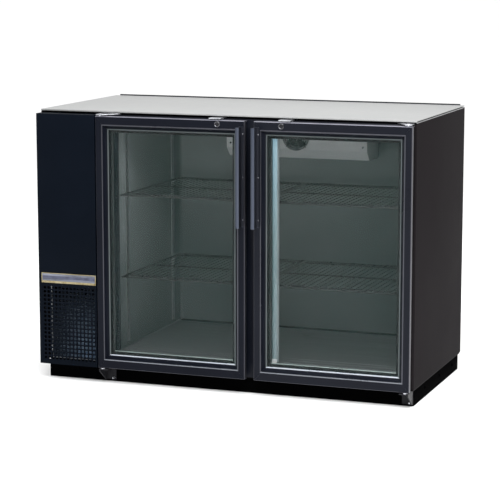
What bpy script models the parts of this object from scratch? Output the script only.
"""Back-bar refrigerator with two glass doors: its structure, doors, shelves and cooling parts.

Metres, +Z up. The front faces -Y. The origin is on the floor, at the centre of the overall box.
"""

import math

import bmesh
import bpy
from mathutils import Matrix, Vector

# Driving sizes
WIDTH = 1.222
TOP_Z = 0.864
DOOR_FACE_TO_BACK = 0.622
HANDLE_REACH = 0.040
GAP = 0.0003
SHEET = 0.002
SIDE_FLANGE = 0.014

X_RIGHT = WIDTH / 2
X_LEFT = -X_RIGHT
Y_BACK = (DOOR_FACE_TO_BACK + HANDLE_REACH) / 2
Y_DOOR = Y_BACK - DOOR_FACE_TO_BACK
Y_CARCASS = Y_DOOR + 0.038
GLAND_PROUD = 0.004
BACK_FACE = Y_BACK - GLAND_PROUD

# Heights
BASE_TOP = 0.050
SHELL_BOTTOM = 0.056
WALLS_TOP = 0.8525
SIDES_TOP = 0.859
BACK_TOP = 0.868
DOOR_BOTTOM = 0.054
DOOR_TOP = 0.850

# Insulated walls: inner faces
BAY_LEFT = -0.361
BAY_RIGHT = 0.565
BAY_FLOOR = 0.100
BAY_CEILING = 0.815
BAY_REAR = 0.284
PARTITION_LEFT = -0.409
WALL_BACK = BACK_FACE - SHEET - GAP
MULLION_HALF = 0.041
MULLION_DEPTH = 0.022
FACE_FRAME = 0.0035
JAMB_OVERHANG = 0.014
LIGHT_WIDTH = 0.0348
LIGHT_DEPTH = 0.0258

# Doors
DOOR_WIDTH = 0.493
DOOR_GAP_HALF = 0.0146
DOOR_MIDDLE_X = 0.0991
PIVOT_IN = 0.014
PIVOT_DEPTH = 0.008
RAIL_EXTRA = 0.005
FRAME_DEPTH = 0.0295
PIN_R = 0.004
PIN_HOLE_R = 0.0045
PIN_REACH = 0.018
GLASS_EDGE_IN = 0.036
PANE = 0.0032
PANE_GAP = 0.008
GLASS_DEPTH = 0.0213

# Handles
HANDLE_TOP = 0.833
HANDLE_LENGTH = 0.305
HANDLE_EDGE_IN = 0.010

# Locks
LOCK_EDGE_IN = 0.088
LOCK_DROP = 0.012
LOCK_R = 0.007
CAM_REACH = 0.0143

# Hinge hardware
HINGE_SHEET = 0.003
TOP_PLATE_Z = WALLS_TOP + 0.0005

# Shelves
SHELF_LEVELS = (0.341, 0.601)
SHELF_THICK = 0.006
SHELF_FRONT = -0.225
SHELF_BACK = 0.262
SHELF_LIFT_GAP = 0.0005

# Front cover of the compressor space
COVER_LEFT = -0.6105
COVER_RIGHT = -0.4115
COVER_BOTTOM = 0.054
COVER_TOP = 0.853
GRILLE_BOTTOM = 0.066
GRILLE_TOP = 0.309
BADGE_BOTTOM = 0.3165
BADGE_TOP = 0.3485

GLAND_X = -0.500
GLAND_Z = 0.105
GLAND_R = 0.0075

FOOT_R = 0.019
STUD_R = 0.005
STUD_TOP = 0.0485
DECK_TOP = 0.064
BASE_INSET = 0.006
BASE_RAIL = 0.030
BASE_SETBACK = 0.022
BASE_BACK_INSET = 0.010
FOOT_CLEARANCE = 0.004


def clear_scene():
    for obj in list(bpy.data.objects):
        bpy.data.objects.remove(obj, do_unlink=True)


def material(name, colour, roughness, metallic=0.0, alpha=1.0):
    made = bpy.data.materials.new(name)
    made.use_nodes = True
    shader = made.node_tree.nodes["Principled BSDF"]
    shader.inputs["Base Color"].default_value = (*colour, 1.0)
    shader.inputs["Roughness"].default_value = roughness
    shader.inputs["Metallic"].default_value = metallic
    shader.inputs["Alpha"].default_value = alpha
    made.diffuse_color = (*colour, alpha)
    return made


def finish(name, bm, look, smooth=False):
    """Turns a bmesh into a named object with one material and its faces pointing out."""
    bmesh.ops.remove_doubles(bm, verts=bm.verts, dist=0.000001)
    bmesh.ops.recalc_face_normals(bm, faces=bm.faces)
    mesh = bpy.data.meshes.new(name)
    bm.to_mesh(mesh)
    bm.free()
    mesh.materials.append(look)
    if smooth:
        mesh.shade_smooth()
        mesh.set_sharp_from_angle(angle=math.radians(35))
    obj = bpy.data.objects.new(name, mesh)
    bpy.context.scene.collection.objects.link(obj)
    return obj


def centre_on(obj, place):
    """Puts the object's origin at a world place, such as its joint's axis, without moving its shape."""
    obj.data.transform(Matrix.Translation(-Vector(place)))
    obj.location = place
    return obj


def extrude_outline(points, vector):
    """A bmesh prism: a closed outline of 3-D points, extruded along a vector."""
    bm = bmesh.new()
    face = bm.faces.new([bm.verts.new(point) for point in points])
    made = bmesh.ops.extrude_face_region(bm, geom=[face])
    moved = [item for item in made["geom"] if isinstance(item, bmesh.types.BMVert)]
    bmesh.ops.translate(bm, verts=moved, vec=vector)
    return bm


def block(name, low, high, look, bevel=0.0):
    """A box between two corners, with its edges rounded if a bevel is given."""
    low = Vector(low)
    high = Vector(high)
    outline = [
        (low.x, low.y, low.z),
        (high.x, low.y, low.z),
        (high.x, high.y, low.z),
        (low.x, high.y, low.z),
    ]
    bm = extrude_outline(outline, (0, 0, high.z - low.z))
    if bevel:
        bmesh.ops.bevel(bm, geom=bm.edges[:], offset=bevel, segments=1, affect="EDGES")
    return finish(name, bm, look)


def prism(name, outline, axis, start, length, look, smooth=False):
    """An outline in the plane across an axis, extruded along it. Outlines are (y, z), (x, z) or (x, y)."""
    if axis == "X":
        points = [(start, a, b) for a, b in outline]
        vector = (length, 0, 0)
    elif axis == "Y":
        points = [(a, start, b) for a, b in outline]
        vector = (0, length, 0)
    else:
        points = [(a, b, start) for a, b in outline]
        vector = (0, 0, length)
    return finish(name, extrude_outline(points, vector), look, smooth)


def turned(name, profile, look, steps=20):
    """A turned piece about Z: the profile runs from the axis, down the outer side, back to the axis."""
    bm = bmesh.new()
    rings = []
    for radius, height in profile:
        if radius == 0:
            rings.append([bm.verts.new((0, 0, height))])
            continue
        ring = []
        for step in range(steps):
            angle = 2 * math.pi * step / steps
            ring.append(bm.verts.new((radius * math.cos(angle), radius * math.sin(angle), height)))
        rings.append(ring)
    for upper, lower in zip(rings, rings[1:]):
        for step in range(steps):
            after = (step + 1) % steps
            corners = [upper[step % len(upper)], lower[step % len(lower)]]
            corners += [lower[after % len(lower)], upper[after % len(upper)]]
            corners = list(dict.fromkeys(corners))
            if len(corners) > 2:
                bm.faces.new(corners)
    return finish(name, bm, look, smooth=True)


def ring_frame(name, low, high, section, look, rail_extra=0.0, wide_from=0.02):
    """A mitred rectangular frame. The section is a closed outline of (distance in from the edge, y) points.

    low and high are the (x, z) corners of the outside. Points further in than wide_from sit rail_extra
    further from the top and bottom edges.
    """
    bm = bmesh.new()
    loops = []
    for inward, depth in section:
        across = inward
        upright = inward + (rail_extra if inward > wide_from else 0.0)
        corners = [
            (low[0] + across, low[1] + upright),
            (high[0] - across, low[1] + upright),
            (high[0] - across, high[1] - upright),
            (low[0] + across, high[1] - upright),
        ]
        loops.append([bm.verts.new((x, depth, z)) for x, z in corners])
    for first, second in zip(loops, loops[1:] + loops[:1]):
        for corner in range(4):
            after = (corner + 1) % 4
            bm.faces.new([first[corner], first[after], second[after], second[corner]])
    return finish(name, bm, look)


def lattice(name, x_lines, z_lines, solid, to_world, thickness, look):
    """A plate with a grid of openings: it fills the cells between the lines where solid(column, row) holds."""
    bm = bmesh.new()
    verts = {}

    def corner(column, row):
        if (column, row) not in verts:
            verts[column, row] = bm.verts.new(to_world(x_lines[column], z_lines[row]))
        return verts[column, row]

    faces = []
    for column in range(len(x_lines) - 1):
        for row in range(len(z_lines) - 1):
            if solid(column, row):
                ends = [corner(column, row), corner(column + 1, row)]
                ends += [corner(column + 1, row + 1), corner(column, row + 1)]
                faces.append(bm.faces.new(ends))
    made = bmesh.ops.extrude_face_region(bm, geom=faces)
    moved = [item for item in made["geom"] if isinstance(item, bmesh.types.BMVert)]
    bmesh.ops.translate(bm, verts=moved, vec=thickness)
    bmesh.ops.dissolve_limit(bm, angle_limit=0.001, verts=bm.verts, edges=bm.edges)
    return finish(name, bm, look)


def cutter(obj):
    obj.hide_render = True
    obj.display_type = "WIRE"
    return obj


def boolean(obj, other, operation):
    """A Boolean that is applied at once, so that the helper can go."""
    modifier = obj.modifiers.new(operation.lower(), "BOOLEAN")
    modifier.operation = operation
    modifier.solver = "EXACT"
    modifier.object = other
    bpy.context.view_layer.update()
    evaluated = obj.evaluated_get(bpy.context.evaluated_depsgraph_get())
    mesh = bpy.data.meshes.new_from_object(evaluated)
    obj.modifiers.clear()
    old = obj.data
    obj.data = mesh
    bpy.data.meshes.remove(old)
    bpy.data.objects.remove(other, do_unlink=True)
    return obj


def rod(name, start, end, radius, look, steps=16):
    """A straight round bar between two points."""
    start = Vector(start)
    along = Vector(end) - start
    bm = bmesh.new()
    bmesh.ops.create_cone(
        bm, cap_ends=True, segments=steps, radius1=radius, radius2=radius, depth=along.length
    )
    turn = Vector((0, 0, 1)).rotation_difference(along.normalized()).to_matrix().to_4x4()
    bm.transform(Matrix.Translation(start + along / 2) @ turn)
    return finish(name, bm, look, smooth=True)


def cut_round(obj, start, end, radius, steps=16):
    return boolean(obj, cutter(rod("cut", start, end, radius, obj.data.materials[0], steps)), "DIFFERENCE")


def cut_box(obj, low, high):
    return boolean(obj, cutter(block("cut", low, high, obj.data.materials[0])), "DIFFERENCE")


def join(obj, other):
    return boolean(obj, cutter(other), "UNION")


def make_looks():
    return {
        "black_panel": material("black_panel", (0.020, 0.021, 0.026), 0.42),
        "black_frame": material("black_frame", (0.022, 0.023, 0.028), 0.34, 0.6),
        "galvanised": material("galvanised", (0.62, 0.63, 0.64), 0.38, 0.9),
        "base_black": material("base_black", (0.008, 0.008, 0.009), 0.7),
        "foam": material("foam", (0.62, 0.56, 0.40), 0.9),
        "liner": material("liner", (0.70, 0.73, 0.73), 0.35, 0.4),
        "stainless": material("stainless", (0.60, 0.61, 0.62), 0.28, 1.0),
        "badge": material("badge", (0.45, 0.42, 0.50), 0.3, 0.8),
        "compressor_black": material("compressor_black", (0.012, 0.012, 0.013), 0.45),
        "coil_metal": material("coil_metal", (0.50, 0.50, 0.50), 0.4, 0.9),
        "fan_plastic": material("fan_plastic", (0.03, 0.03, 0.035), 0.5),
        "box_grey": material("box_grey", (0.30, 0.31, 0.33), 0.5),
        "rubber": material("rubber", (0.012, 0.012, 0.012), 0.75),
        "shelf_wire": material("shelf_wire", (0.015, 0.015, 0.017), 0.4),
        "zinc": material("zinc", (0.55, 0.55, 0.57), 0.3, 0.95),
        "glass": material("glass", (0.75, 0.85, 0.82), 0.03, 0.0, 0.25),
        "spacer": material("spacer", (0.45, 0.50, 0.50), 0.3, 0.9),
        "handle": material("handle", (0.10, 0.11, 0.13), 0.3, 0.7),
        "white_plastic": material("white_plastic", (0.75, 0.76, 0.76), 0.4),
        "light": material("light", (0.95, 0.97, 1.0), 0.3),
    }


def make_base(look):
    """The recessed kick base: a black ring on the floor, closed by the machine deck at its left end."""
    front = Y_CARCASS + BASE_SETBACK
    back = BACK_FACE - BASE_BACK_INSET
    left = X_LEFT + BASE_INSET
    right = X_RIGHT - BASE_INSET
    outer = [(left, front), (right, front), (right, back), (left, back)]
    base = prism("base_frame", outer, "Z", 0.0, BASE_TOP, look)
    inner_low = (left + BASE_RAIL, front + BASE_RAIL, -0.01)
    inner_high = (right - BASE_RAIL, back - BASE_RAIL, BASE_TOP + 0.01)
    cut_box(base, inner_low, inner_high)

    # The machine deck closes the base under the compressor, with holes for the studs of the two left feet.
    deck_low = (left + SHEET, front + SHEET, BASE_TOP - 0.004)
    deck_high = (PARTITION_LEFT - GAP, back, DECK_TOP)
    join(base, block("deck", deck_low, deck_high, look))
    for name, (x, y) in foot_places().items():
        if x < 0:
            cut_round(base, (x, y, 0.0), (x, y, STUD_TOP + 0.001), STUD_R + 0.0006)


def foot_places():
    from_rail = BASE_RAIL + FOOT_R + FOOT_CLEARANCE
    inset_x = BASE_INSET + from_rail
    front = Y_CARCASS + BASE_SETBACK + from_rail
    back = BACK_FACE - BASE_BACK_INSET - from_rail
    return {
        "foot_front_left": (X_LEFT + inset_x, front),
        "foot_front_right": (X_RIGHT - inset_x, front),
        "foot_rear_left": (X_LEFT + inset_x, back),
        "foot_rear_right": (X_RIGHT - inset_x, back),
    }


def make_feet(look):
    """Levelling feet: a pad on a threaded stud, in the corners of the base."""
    profile = [(0, STUD_TOP), (STUD_R, STUD_TOP - 0.001), (STUD_R, 0.012), (0.012, 0.010)]
    profile += [(FOOT_R, 0.006), (FOOT_R, 0.0), (0, 0.0)]
    for name, (x, y) in foot_places().items():
        foot = turned(name, profile, look, steps=16)
        foot.location = (x, y, 0)


def make_shell(looks):
    for name, edge, inward in (("left_side_panel", X_LEFT, 1), ("right_side_panel", X_RIGHT, -1)):
        inner = edge + inward * SHEET
        turn = edge + inward * SIDE_FLANGE
        if name == "left_side_panel":
            # The left panel starts behind the front cover, so it has no front flange.
            outline = [(edge, Y_CARCASS), (inner, Y_CARCASS), (inner, BACK_FACE - SHEET)]
            outline += [(turn, BACK_FACE - SHEET), (turn, BACK_FACE), (edge, BACK_FACE)]
        else:
            outline = [(edge, Y_CARCASS), (turn, Y_CARCASS), (turn, Y_CARCASS + SHEET)]
            outline += [(inner, Y_CARCASS + SHEET), (inner, BACK_FACE - SHEET)]
            outline += [(turn, BACK_FACE - SHEET), (turn, BACK_FACE), (edge, BACK_FACE)]
        panel = prism(name, outline, "Z", SHELL_BOTTOM, SIDES_TOP - SHELL_BOTTOM, looks["black_panel"])
        if name == "right_side_panel":
            # The front flange stops below the hinge plate.
            notch_low = (turn - 0.01, Y_CARCASS - 0.01, WALLS_TOP - 0.0005)
            cut_box(panel, notch_low, (inner - GAP, Y_CARCASS + 0.008, SIDES_TOP + 0.01))

    back_x = X_RIGHT - SIDE_FLANGE - GAP
    slot_left = X_LEFT + 0.034
    slot_right = PARTITION_LEFT - 0.014
    rows = 12
    pitch = 0.030
    slot_height = 0.012
    first = 0.150
    x_lines = [-back_x, slot_left, slot_right, back_x]
    z_lines = [SHELL_BOTTOM]
    for row in range(rows):
        z_lines += [first + pitch * row, first + pitch * row + slot_height]
    z_lines.append(BACK_TOP)

    def solid(column, row):
        return column != 1 or row % 2 == 0

    def to_world(x, z):
        return (x, BACK_FACE, z)

    panel = lattice("back_panel", x_lines, z_lines, solid, to_world, (0, -SHEET, 0), looks["black_panel"])
    hole_front = (GLAND_X, BACK_FACE - 0.01, GLAND_Z)
    hole_back = (GLAND_X, BACK_FACE + 0.01, GLAND_Z)
    cut_round(panel, hole_front, hole_back, GLAND_R + GAP)

    # The top sheet has a short lip turned down along its front edge.
    top_sheet = 0.0025
    y_front = Y_CARCASS - 0.002
    y_rear = BACK_FACE - SHEET - 0.001
    lip = TOP_Z - SIDES_TOP - GAP
    top_low = (X_LEFT, y_front, TOP_Z - top_sheet)
    top = block("top_panel", top_low, (X_RIGHT, y_rear, TOP_Z), looks["galvanised"])
    lip_low = (X_LEFT, y_front, TOP_Z - lip)
    lip_high = (X_RIGHT, y_front + 0.0015, TOP_Z - top_sheet / 2)
    join(top, block("lip", lip_low, lip_high, looks["galvanised"]))


def make_insulation(looks):
    foam = looks["foam"]
    front = Y_CARCASS + FACE_FRAME + GAP
    side_low = BASE_TOP + 2 * GAP
    right = X_RIGHT - SHEET - GAP
    block("partition_wall", (PARTITION_LEFT, front, side_low), (BAY_LEFT, WALL_BACK, WALLS_TOP), foam)
    block("right_wall", (BAY_RIGHT, front, side_low), (right, WALL_BACK, WALLS_TOP), foam)
    inner_left = BAY_LEFT + GAP
    inner_right = BAY_RIGHT - GAP
    block("rear_wall", (inner_left, BAY_REAR, side_low), (inner_right, WALL_BACK, WALLS_TOP), foam)
    floor_low = (inner_left, front, side_low)
    floor_high = (inner_right, BAY_REAR - GAP, BAY_FLOOR)
    block("floor_wall", floor_low, floor_high, foam)
    ceiling_low = (inner_left, front, BAY_CEILING)
    ceiling_high = (inner_right, BAY_REAR - GAP, WALLS_TOP)
    block("ceiling_wall", ceiling_low, ceiling_high, foam)

    # The face frame covers the front edges of the walls, with an opening for each bay.
    left = PARTITION_LEFT
    mullion_left = DOOR_MIDDLE_X - MULLION_HALF
    mullion_right = DOOR_MIDDLE_X + MULLION_HALF
    right_edge = X_RIGHT - SIDE_FLANGE - 0.0005
    x_lines = [left, BAY_LEFT + JAMB_OVERHANG, mullion_left, mullion_right, BAY_RIGHT - 0.002, right_edge]
    z_lines = [DOOR_BOTTOM, BAY_FLOOR + 0.002, BAY_CEILING - 0.002, WALLS_TOP]

    def solid(column, row):
        return row != 1 or column in (0, 2, 4)

    def to_world(x, z):
        return (x, Y_CARCASS, z)

    lattice("door_surround", x_lines, z_lines, solid, to_world, (0, FACE_FRAME, 0), looks["black_panel"])
    post_low = (mullion_left, front, BAY_FLOOR + 0.0035)
    post_high = (mullion_right, front + MULLION_DEPTH, BAY_CEILING - 0.0025)
    block("centre_mullion", post_low, post_high, looks["black_panel"], bevel=0.003)

    # One drawn liner skin, open at the front.
    skin = 0.0012
    low = Vector((BAY_LEFT + GAP, front, BAY_FLOOR + GAP))
    high = Vector((BAY_RIGHT - GAP, BAY_REAR - GAP, BAY_CEILING - GAP))
    liner = block("inner_liner", low, high, looks["liner"])
    inner_low = low + Vector((skin, -0.01, skin))
    inner_high = high - Vector((skin, skin, skin))
    cut_box(liner, inner_low, inner_high)

    tray = 0.0012
    tray_low = (low.x + skin + GAP, front + MULLION_DEPTH + 0.001, low.z + skin + GAP)
    tray_high = (high.x - skin - GAP, high.y - skin - GAP, low.z + skin + GAP + tray)
    block("interior_floor", tray_low, tray_high, looks["stainless"])


def make_front_cover(looks):
    """The cover of the compressor space: a shallow tray with a window, and the grille set in the window."""
    depth = Y_CARCASS - Y_DOOR - GAP
    x_lines = [COVER_LEFT, COVER_LEFT + 0.012, COVER_RIGHT - 0.003, COVER_RIGHT]
    z_lines = [COVER_BOTTOM, GRILLE_BOTTOM, GRILLE_TOP, COVER_TOP]

    def solid(column, row):
        return (column, row) != (1, 1)

    def to_world(x, z):
        return (x, Y_DOOR, z)

    cover = lattice("front_panel", x_lines, z_lines, solid, to_world, (0, SHEET, 0), looks["black_panel"])
    returns = [
        ((COVER_LEFT, COVER_BOTTOM), (COVER_LEFT + SHEET, COVER_TOP)),
        ((COVER_RIGHT - SHEET, COVER_BOTTOM), (COVER_RIGHT, COVER_TOP)),
        ((COVER_LEFT + SHEET / 2, COVER_TOP - SHEET), (COVER_RIGHT - SHEET / 2, COVER_TOP)),
        ((COVER_LEFT + SHEET / 2, COVER_BOTTOM), (COVER_RIGHT - SHEET / 2, COVER_BOTTOM + SHEET)),
    ]
    for (x_low, z_low), (x_high, z_high) in returns:
        low = (x_low, Y_DOOR + SHEET / 2, z_low)
        high = (x_high, Y_DOOR + depth, z_high)
        join(cover, block("return", low, high, looks["black_panel"]))

    slots = 11
    slot = 0.012
    margin = 0.010
    grille_low = (x_lines[1] + GAP, GRILLE_BOTTOM + GAP)
    grille_high = (x_lines[2] - GAP, GRILLE_TOP - GAP)
    pitch = (grille_high[1] - grille_low[1] - 2 * margin) / slots
    grid_x = [grille_low[0], grille_low[0] + margin, grille_high[0] - margin, grille_high[0]]
    grid_z = [grille_low[1]]
    for number in range(slots):
        start = grille_low[1] + margin + pitch * number + (pitch - slot) / 2
        grid_z += [start, start + slot]
    grid_z.append(grille_high[1])

    def open_row(column, row):
        return column != 1 or row % 2 == 0

    def grille_world(x, z):
        return (x, Y_DOOR + 0.0004, z)

    lattice("grille", grid_x, grid_z, open_row, grille_world, (0, 0.0012, 0), looks["black_panel"])
    badge_low = (COVER_LEFT + 0.010, Y_DOOR - 0.0022, BADGE_BOTTOM)
    badge_high = (COVER_RIGHT - 0.001, Y_DOOR - GAP, BADGE_TOP)
    block("nameplate", badge_low, badge_high, looks["badge"], bevel=0.0008)


def make_shelves(looks):
    """Wire shelves as plates with slots between their wires, resting on four standards."""
    side = 0.0065
    bays = {
        "left": (BAY_LEFT + side, DOOR_MIDDLE_X - 0.003),
        "right": (DOOR_MIDDLE_X + 0.003, BAY_RIGHT - side),
    }
    wire = 0.005
    cross_bars = 3
    slots = 9
    for bay, (x_low, x_high) in bays.items():
        for level, height in zip(("lower", "upper"), SHELF_LEVELS):
            pitch = (x_high - x_low - wire) / slots
            x_lines = []
            for number in range(slots + 1):
                x_lines += [x_low + pitch * number, x_low + pitch * number + wire]
            step = (SHELF_BACK - SHELF_FRONT - wire) / cross_bars
            y_lines = []
            for number in range(cross_bars + 1):
                y_lines += [SHELF_FRONT + step * number, SHELF_FRONT + step * number + wire]
            shelf_z = height - SHELF_THICK

            def solid(column, row):
                return column % 2 == 0 or row % 2 == 0

            def to_world(x, y):
                return (x, y, shelf_z)

            name = bay + "_" + level + "_shelf"
            shelf = lattice(name, x_lines, y_lines, solid, to_world, (0, 0, SHELF_THICK), looks["shelf_wire"])
            centre_on(shelf, (x_low, SHELF_FRONT, height))

    # Standards up the side walls, notched by clips that the shelves rest on.
    thick = 0.0035
    width = 0.018
    tab = 0.010
    walls = {"left": (BAY_LEFT + 0.0018, 1), "right": (BAY_RIGHT - 0.0018, -1)}
    for side_name, (wall_x, inward) in walls.items():
        for place, y in (("front", SHELF_FRONT + 0.050), ("rear", SHELF_BACK - 0.060)):
            outline = [(wall_x, BAY_FLOOR + 0.020), (wall_x + inward * thick, BAY_FLOOR + 0.020)]
            for height in SHELF_LEVELS:
                under = height - SHELF_THICK - SHELF_LIFT_GAP
                outline += [
                    (wall_x + inward * thick, under - 0.008),
                    (wall_x + inward * tab, under - 0.003),
                    (wall_x + inward * tab, under),
                    (wall_x + inward * thick, under),
                ]
            outline += [(wall_x + inward * thick, BAY_CEILING - 0.022), (wall_x, BAY_CEILING - 0.022)]
            name = side_name + "_" + place + "_standard"
            prism(name, outline, "Y", y, width, looks["zinc"])


def make_cooling_inside(looks):
    """The evaporator cover under the ceiling at the rear, with its fan, and the controls and the light."""
    x_low = -0.140
    x_high = 0.338
    y_front = 0.150
    y_rear = BAY_REAR - 0.0018
    z_low = 0.690
    z_high = BAY_CEILING - 0.0018
    outline = [(y_front, z_high), (y_front, z_low + 0.030), (y_front + 0.030, z_low)]
    outline += [(y_rear, z_low), (y_rear, z_high)]
    cover = prism("evaporator_cover", outline, "X", x_low, x_high - x_low, looks["white_plastic"])
    fan_x = DOOR_MIDDLE_X
    fan_z = 0.762
    opening_r = 0.044
    cut_round(cover, (fan_x, y_front - 0.01, fan_z), (fan_x, y_front + 0.040, fan_z), opening_r, 24)
    spindle_r = 0.0035
    cut_round(cover, (fan_x, y_front, fan_z), (fan_x, y_front + 0.060, fan_z), spindle_r + 0.0006, 12)
    fan_place = (fan_x, y_front + 0.020, fan_z)
    make_fan("evaporator_fan", fan_place, opening_r - 0.004, 0.012, spindle_r, 0.030, looks["fan_plastic"])

    knob_x = x_low + 0.055
    profile = [(0, 0.015), (0.0125, 0.015), (0.014, 0.0135), (0.015, 0.0004), (0, 0.0004)]
    knob = turned("thermostat_knob", profile, looks["fan_plastic"])
    pointer = block("pointer", (-0.0018, -0.013, 0.013), (0.0018, 0.002, 0.0185), looks["fan_plastic"])
    join(knob, pointer)
    knob.data.transform(Matrix.Rotation(math.radians(90), 4, "X"))
    knob.location = (knob_x, y_front, 0.770)

    switch_x = x_high - 0.055
    switch_z = 0.770
    half = 0.0105
    pocket = 0.012
    cut_box(
        cover,
        (switch_x - 0.0075, y_front - 0.01, switch_z - half - 0.001),
        (switch_x + 0.0075, y_front + pocket, switch_z + half + 0.001),
    )
    rocker = [
        (y_front - 0.0035, switch_z + half - 0.0015),
        (y_front - 0.0012, switch_z),
        (y_front - 0.0035, switch_z - half + 0.0015),
        (y_front + 0.0012, switch_z - half + 0.0008),
        (y_front + 0.0065, switch_z - 0.004),
        (y_front + 0.0065, switch_z + 0.004),
        (y_front + 0.0012, switch_z + half - 0.0008),
    ]
    switch = prism("light_switch", rocker, "X", switch_x - 0.0068, 0.0136, looks["fan_plastic"])
    centre_on(switch, (switch_x, y_front + 0.0015, switch_z))

    # The light is an upright strip beside the centre mullion, as tall as the bay.
    bar_left = DOOR_MIDDLE_X + MULLION_HALF + GAP
    bar_right = bar_left + LIGHT_WIDTH
    bar_front = Y_CARCASS + 0.001
    bar_back = bar_front + LIGHT_DEPTH
    bar = [
        (bar_left, bar_front),
        (bar_right - 0.003, bar_front),
        (bar_right, bar_front + 0.003),
        (bar_right, bar_back - 0.003),
        (bar_right - 0.003, bar_back),
        (bar_left, bar_back),
    ]
    bar_bottom = BAY_FLOOR + 0.005
    prism("led_light_bar", bar, "Z", bar_bottom, BAY_CEILING - 0.0033 - bar_bottom, looks["light"])


def make_fan(name, place, tip_r, depth, spindle_r, spindle, look, blades=5):
    """A fan on a spindle: pitched blades round a hub, its axis along Y."""
    hub_r = tip_r * 0.32
    half = depth / 2
    profile = [(0, -half), (hub_r, -half), (hub_r, half), (spindle_r, half), (spindle_r, half + spindle)]
    profile += [(0, half + spindle)]
    profile.reverse()
    fan = turned(name, profile, look)
    for number in range(blades):
        bm = bmesh.new()
        start = 2 * math.pi * number / blades
        sweep = 2 * math.pi / blades * 0.62
        thick = 0.0016
        rings = []
        for step in range(5):
            radius = hub_r * 0.8 + (tip_r - hub_r * 0.8) * step / 4
            ring = []
            for side, lift in ((0, -1), (1, 1)):
                angle = start + sweep * (side - 0.5) * (0.7 + 0.3 * step / 4)
                height = lift * half * 0.75
                x = radius * math.cos(angle)
                y = radius * math.sin(angle)
                ring.append(bm.verts.new((x, y, height - thick / 2)))
                ring.append(bm.verts.new((x, y, height + thick / 2)))
            rings.append([ring[0], ring[2], ring[3], ring[1]])
        for first, second in zip(rings, rings[1:]):
            for side in range(4):
                after = (side + 1) % 4
                bm.faces.new([first[side], first[after], second[after], second[side]])
        bm.faces.new(rings[0])
        bm.faces.new(rings[-1])
        join(fan, finish("blade", bm, look))
    fan.data.transform(Matrix.Rotation(math.radians(-90), 4, "X"))
    fan.location = place


def make_machinery(looks):
    """The compressor, the condenser with its fan, and the electrical box, in the left compartment."""
    x_mid = (X_LEFT + PARTITION_LEFT) / 2
    body_r = 0.076
    foot_z = DECK_TOP + GAP
    profile = [
        (0, 0.195),
        (body_r * 0.45, 0.190),
        (body_r * 0.82, 0.172),
        (body_r, 0.140),
        (body_r, 0.110),
        (body_r + 0.004, 0.108),
        (body_r + 0.004, 0.102),
        (body_r, 0.100),
        (body_r, 0.045),
        (body_r * 0.8, 0.022),
        (body_r * 0.8, 0.0),
        (0, 0.0),
    ]
    compressor = turned("compressor", profile, looks["compressor_black"], steps=28)
    compressor.location = (x_mid, 0.160, foot_z)
    plate = block("plate", (-0.085, -0.075, 0.0), (0.085, 0.075, 0.010), looks["compressor_black"])
    plate.location = compressor.location
    bpy.context.view_layer.update()
    join(compressor, plate)
    terminal = block("terminal", (-0.030, -0.100, 0.060), (0.030, -0.060, 0.105), looks["compressor_black"])
    terminal.location = compressor.location
    bpy.context.view_layer.update()
    join(compressor, terminal)

    # The condenser stands just behind the grille: a finned block with a hole through its shroud for the fan.
    coil_front = Y_CARCASS + 0.012
    coil_depth = 0.050
    coil_low = (X_LEFT + 0.012, coil_front, DECK_TOP + GAP)
    coil_high = (PARTITION_LEFT - 0.008, coil_front + coil_depth, 0.312)
    fins = 16
    fin_pitch = (coil_high[2] - coil_low[2]) / fins
    outline = []
    for number in range(fins):
        bottom = coil_low[2] + fin_pitch * number
        middle = bottom + fin_pitch / 2
        groove = coil_low[1] + 0.008
        outline += [(coil_low[1], bottom), (coil_low[1], middle)]
        outline += [(groove, middle), (groove, bottom + fin_pitch)]
    outline += [(coil_high[1], coil_high[2]), (coil_high[1], coil_low[2])]
    prism("condenser_coil", outline, "X", coil_low[0], coil_high[0] - coil_low[0], looks["coil_metal"])

    fan_y = coil_high[1] + 0.030
    fan_z = 0.190
    fan_r = 0.078
    make_fan("condenser_fan", (x_mid, fan_y, fan_z), fan_r, 0.026, 0.004, 0.020, looks["fan_plastic"])
    motor_front = fan_y + 0.013 + 0.012
    motor_back = motor_front + 0.045
    dark = looks["compressor_black"]
    motor = rod("fan_motor", (x_mid, motor_front, fan_z), (x_mid, motor_back, fan_z), 0.030, dark, 20)
    leg_low = (x_mid - 0.016, motor_front + 0.012, DECK_TOP + GAP)
    leg_high = (x_mid + 0.016, motor_front + 0.032, fan_z)
    join(motor, block("leg", leg_low, leg_high, dark))
    cut_round(motor, (x_mid, motor_front - 0.01, fan_z), (x_mid, motor_front + 0.022, fan_z), 0.0046, 12)

    box_low = (X_LEFT + 0.010, 0.020, 0.520)
    box_high = (X_LEFT + 0.085, 0.200, 0.640)
    block("electrical_box", box_low, box_high, looks["box_grey"], bevel=0.003)

    # The gland for the mains cord passes through the back panel below its louvres.
    profile = [(0, 0.014), (GLAND_R, 0.014), (GLAND_R, -GAP), (0.014, -GAP), (0.014, -0.0025)]
    profile += [(0.011, -GLAND_PROUD), (0, -GLAND_PROUD)]
    gland = turned("power_gland", profile, looks["rubber"], steps=16)
    gland.data.transform(Matrix.Rotation(math.radians(90), 4, "X"))
    gland.location = (GLAND_X, BACK_FACE, GLAND_Z)


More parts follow.
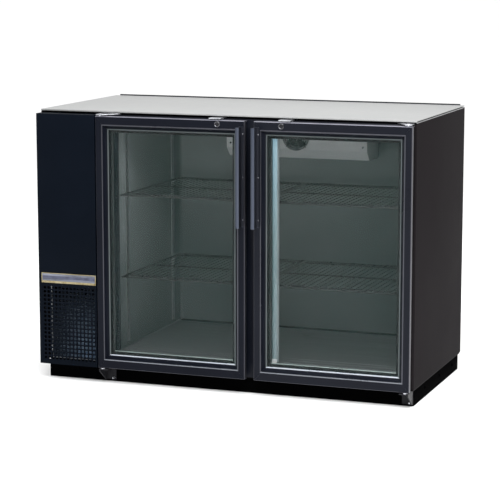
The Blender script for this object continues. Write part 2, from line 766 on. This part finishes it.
def door_section():
    """The extruded door frame, as (distance in from the edge, y) points from the outer front edge round."""
    face = Y_DOOR + 0.0012
    return [
        (0.0, face + 0.0015),
        (0.0015, face),
        (0.0205, face),
        (0.0212, Y_DOOR),
        (0.0234, Y_DOOR),
        (0.0246, face + 0.0016),
        (0.0370, Y_DOOR + 0.0185),
        (0.0380, Y_DOOR + 0.0185),
        (0.0380, Y_DOOR + 0.0210),
        (0.0357, Y_DOOR + 0.0210),
        (0.0357, Y_DOOR + 0.0362),
        (0.0420, Y_DOOR + 0.0362),
        (0.0420, Y_DOOR + 0.0374),
        (0.0310, Y_DOOR + 0.0374),
        (0.0310, Y_DOOR + FRAME_DEPTH),
        (0.0050, Y_DOOR + FRAME_DEPTH),
        (0.0050, Y_DOOR + 0.0160),
        (0.0, Y_DOOR + 0.0160),
    ]


def make_door(side, looks):
    """One door with its glass, gasket, handle and lock. inward is the sign of x towards its free edge."""
    inward = 1 if side == "left" else -1
    free_x = DOOR_MIDDLE_X - inward * DOOR_GAP_HALF
    hinge_x = free_x - inward * DOOR_WIDTH
    low = (min(free_x, hinge_x), DOOR_BOTTOM)
    high = (max(free_x, hinge_x), DOOR_TOP)
    pivot = (hinge_x + inward * PIVOT_IN, Y_DOOR + PIVOT_DEPTH, 0.0)

    frame = ring_frame(side + "_door_frame", low, high, door_section(), looks["black_frame"], RAIL_EXTRA)
    for z_from, z_to in ((DOOR_BOTTOM - 0.01, DOOR_BOTTOM + 0.020), (DOOR_TOP - 0.020, DOOR_TOP + 0.01)):
        cut_round(frame, (pivot[0], pivot[1], z_from), (pivot[0], pivot[1], z_to), PIN_HOLE_R)

    edge = GLASS_EDGE_IN
    glass_low = (low[0] + edge, low[1] + edge + RAIL_EXTRA)
    glass_high = (high[0] - edge, high[1] - edge - RAIL_EXTRA)
    outer_y = Y_DOOR + GLASS_DEPTH
    inner_y = outer_y + PANE + PANE_GAP
    pane_parts = []
    for name, y in (("outer_glass", outer_y), ("inner_glass", inner_y)):
        corner_low = (glass_low[0], y, glass_low[1])
        corner_high = (glass_high[0], y + PANE, glass_high[1])
        pane_parts.append(block(side + "_" + name, corner_low, corner_high, looks["glass"]))

    spacer_front = outer_y + PANE + GAP
    spacer_back = inner_y - GAP
    spacer_in = 0.0015
    spacer_wide = 0.010
    section = [
        (spacer_in, spacer_front),
        (spacer_in + spacer_wide, spacer_front),
        (spacer_in + spacer_wide, spacer_back),
        (spacer_in, spacer_back),
    ]
    spacer = ring_frame(side + "_glass_spacer", glass_low, glass_high, section, looks["spacer"])

    # The gasket's section: a foot against the frame, a waist, and a magnet strip that meets the face frame.
    gasket_front = Y_DOOR + FRAME_DEPTH + GAP
    gasket_back = Y_CARCASS - GAP
    section = [
        (0.0145, gasket_front),
        (0.0300, gasket_front),
        (0.0290, gasket_front + 0.0020),
        (0.0270, gasket_front + 0.0026),
        (0.0290, gasket_back - 0.0030),
        (0.0290, gasket_back),
        (0.0155, gasket_back),
        (0.0155, gasket_back - 0.0030),
        (0.0175, gasket_front + 0.0026),
        (0.0150, gasket_front + 0.0020),
    ]
    gasket = ring_frame(side + "_door_gasket", low, high, section, looks["rubber"], RAIL_EXTRA, 0.0)

    handle = make_handle(side, free_x, inward, looks)
    make_lock(side, frame, free_x, inward, looks["zinc"])
    for piece in [frame, spacer, gasket, handle, *pane_parts]:
        centre_on(piece, pivot)


def make_handle(side, free_x, inward, looks):
    """A vertical pull, a T in plan: a foot on the door's stile, a web, and a rounded grip along its front."""
    middle = free_x - inward * HANDLE_EDGE_IN
    face = Y_DOOR + 0.0012 - GAP
    foot_half = 0.0085
    foot_thick = 0.0025
    web_half = 0.0018
    grip_half = 0.0064
    grip_back = Y_DOOR - HANDLE_REACH + 0.0060
    grip_middle = Y_DOOR - HANDLE_REACH + 0.0042
    half_outline = [
        (foot_half, face),
        (foot_half, face - foot_thick),
        (web_half + 0.0012, face - foot_thick - 0.0004),
        (web_half, face - foot_thick - 0.0016),
        (web_half, grip_back),
        (grip_half, grip_back),
    ]
    arc_steps = 5
    arc = []
    for step in range(arc_steps + 1):
        angle = math.radians(90) * step / arc_steps
        across = grip_half * math.cos(angle)
        forward = grip_middle - (grip_middle - (Y_DOOR - HANDLE_REACH)) * math.sin(angle)
        arc.append((across, forward))
    right = half_outline + arc
    left = [(-across, y) for across, y in reversed(right[:-1])]
    outline = [(middle + across, y) for across, y in right + left]
    bottom = HANDLE_TOP - HANDLE_LENGTH
    return prism(side + "_door_handle", outline, "Z", bottom, HANDLE_LENGTH, looks["handle"], smooth=True)


def make_lock(side, frame, free_x, inward, look):
    """A cam lock through the top rail. Its cam turns up behind the strike plate's tab."""
    x = free_x - inward * LOCK_EDGE_IN
    z = DOOR_TOP - LOCK_DROP
    front = Y_DOOR - 0.0016
    face = Y_DOOR + 0.0012
    back = Y_DOOR + FRAME_DEPTH
    cut_round(frame, (x, Y_DOOR - 0.01, z), (x, back + 0.005, z), LOCK_R + GAP)
    ring_r = 0.0092
    profile = [
        (0, Y_DOOR - front),
        (ring_r - 0.001, Y_DOOR - front),
        (ring_r, Y_DOOR - front - 0.0008),
        (ring_r, Y_DOOR - face + GAP),
        (LOCK_R, Y_DOOR - face + GAP),
        (LOCK_R, Y_DOOR - back - 0.0010),
        (0, Y_DOOR - back - 0.0010),
    ]
    lock = turned(side + "_lock", profile, look)
    cut_box(lock, (-0.0045, -0.0006, -0.004), (0.0045, 0.0006, 0.01))
    lock.data.transform(Matrix.Rotation(math.radians(90), 4, "X"))
    cam_y = FRAME_DEPTH + 0.0006
    cam_thick = 0.0026
    ends = sorted((inward * 0.0045, -inward * CAM_REACH))
    cam = block("cam", (ends[0], cam_y, -0.0042), (ends[1], cam_y + cam_thick, 0.0042), look)
    join(lock, cam)
    lock.location = (x, Y_DOOR, z)


def make_hinges_and_strikes(looks):
    zinc = looks["zinc"]
    for side, inward in (("left", 1), ("right", -1)):
        free_x = DOOR_MIDDLE_X - inward * DOOR_GAP_HALF
        hinge_x = free_x - inward * DOOR_WIDTH
        pin_x = hinge_x + inward * PIVOT_IN
        pin_y = Y_DOOR + PIVOT_DEPTH
        outer = hinge_x + inward * 0.003

        # Top plate: fixed on the ceiling wall, its arm reaches forward over the door's corner.
        arm = [
            (outer, pin_y - 0.007),
            (outer + inward * 0.020, pin_y - 0.007),
            (outer + inward * 0.060, Y_CARCASS + 0.012),
            (outer + inward * 0.060, Y_CARCASS + 0.045),
            (outer, Y_CARCASS + 0.045),
        ]
        plate = prism(side + "_top_hinge", arm, "Z", TOP_PLATE_Z, HINGE_SHEET, zinc)
        pin_top = TOP_PLATE_Z + HINGE_SHEET / 2
        pin = rod("pin", (pin_x, pin_y, DOOR_TOP - PIN_REACH), (pin_x, pin_y, pin_top), PIN_R, zinc)
        join(plate, pin)

        # Bottom bracket: a shelf under the door with its pin, and a flange down the base's front.
        base_front = Y_CARCASS + BASE_SETBACK - GAP
        shelf_top = DOOR_BOTTOM - 0.0038
        shelf = [
            (outer, pin_y - 0.008),
            (outer + inward * 0.028, pin_y - 0.008),
            (outer + inward * 0.034, base_front),
            (outer, base_front),
        ]
        bracket = prism(side + "_bottom_hinge", shelf, "Z", shelf_top - HINGE_SHEET, HINGE_SHEET, zinc)
        flange_ends = sorted((outer, outer + inward * 0.034))
        flange_low = (flange_ends[0], base_front - HINGE_SHEET, 0.006)
        flange_high = (flange_ends[1], base_front, shelf_top)
        join(bracket, block("flange", flange_low, flange_high, zinc))
        gusset = [
            (base_front - HINGE_SHEET / 2, 0.006),
            (base_front - HINGE_SHEET / 2, shelf_top - HINGE_SHEET / 2),
            (pin_y - 0.006, shelf_top - HINGE_SHEET / 2),
            (pin_y - 0.006, shelf_top - 0.008),
            (base_front - 0.010, 0.006),
        ]
        gusset_x = min(outer, outer + inward * HINGE_SHEET)
        join(bracket, prism("gusset", gusset, "X", gusset_x, HINGE_SHEET, zinc))
        pin_low = (pin_x, pin_y, shelf_top - HINGE_SHEET / 2)
        pin_high = (pin_x, pin_y, DOOR_BOTTOM + PIN_REACH - 0.002)
        join(bracket, rod("pin", pin_low, pin_high, PIN_R, zinc))
        bolt_x = outer + inward * (0.026 if side == "left" else 0.009)
        bolt_z = 0.0115
        bolt_low = (bolt_x, base_front - 0.008, bolt_z)
        bolt_high = (bolt_x, base_front - 0.001, bolt_z)
        join(bracket, rod("bolt", bolt_low, bolt_high, 0.0038, zinc, 6))

        # Strike plate: on the ceiling wall, over the door's top, with a tab that the cam turns up behind.
        lock_x = free_x - inward * LOCK_EDGE_IN
        strike_x = sorted((lock_x + inward * 0.010, lock_x - inward * 0.028))
        strike_low = (strike_x[0], Y_DOOR + 0.003, TOP_PLATE_Z)
        strike_high = (strike_x[1], Y_CARCASS + 0.035, TOP_PLATE_Z + HINGE_SHEET)
        strike = block(side + "_lock_strike", strike_low, strike_high, zinc)
        tab_front = Y_DOOR + FRAME_DEPTH - 0.0026
        tab_low = (strike_x[0], tab_front, DOOR_TOP + 0.0006)
        tab_high = (strike_x[1], tab_front + 0.0024, TOP_PLATE_Z + HINGE_SHEET / 2)
        join(strike, block("tab", tab_low, tab_high, zinc))


def main():
    clear_scene()
    looks = make_looks()
    make_base(looks["base_black"])
    make_feet(looks["rubber"])
    make_shell(looks)
    make_insulation(looks)
    make_front_cover(looks)
    make_shelves(looks)
    make_cooling_inside(looks)
    make_machinery(looks)
    make_hinges_and_strikes(looks)
    for side in ("left", "right"):
        make_door(side, looks)


main()
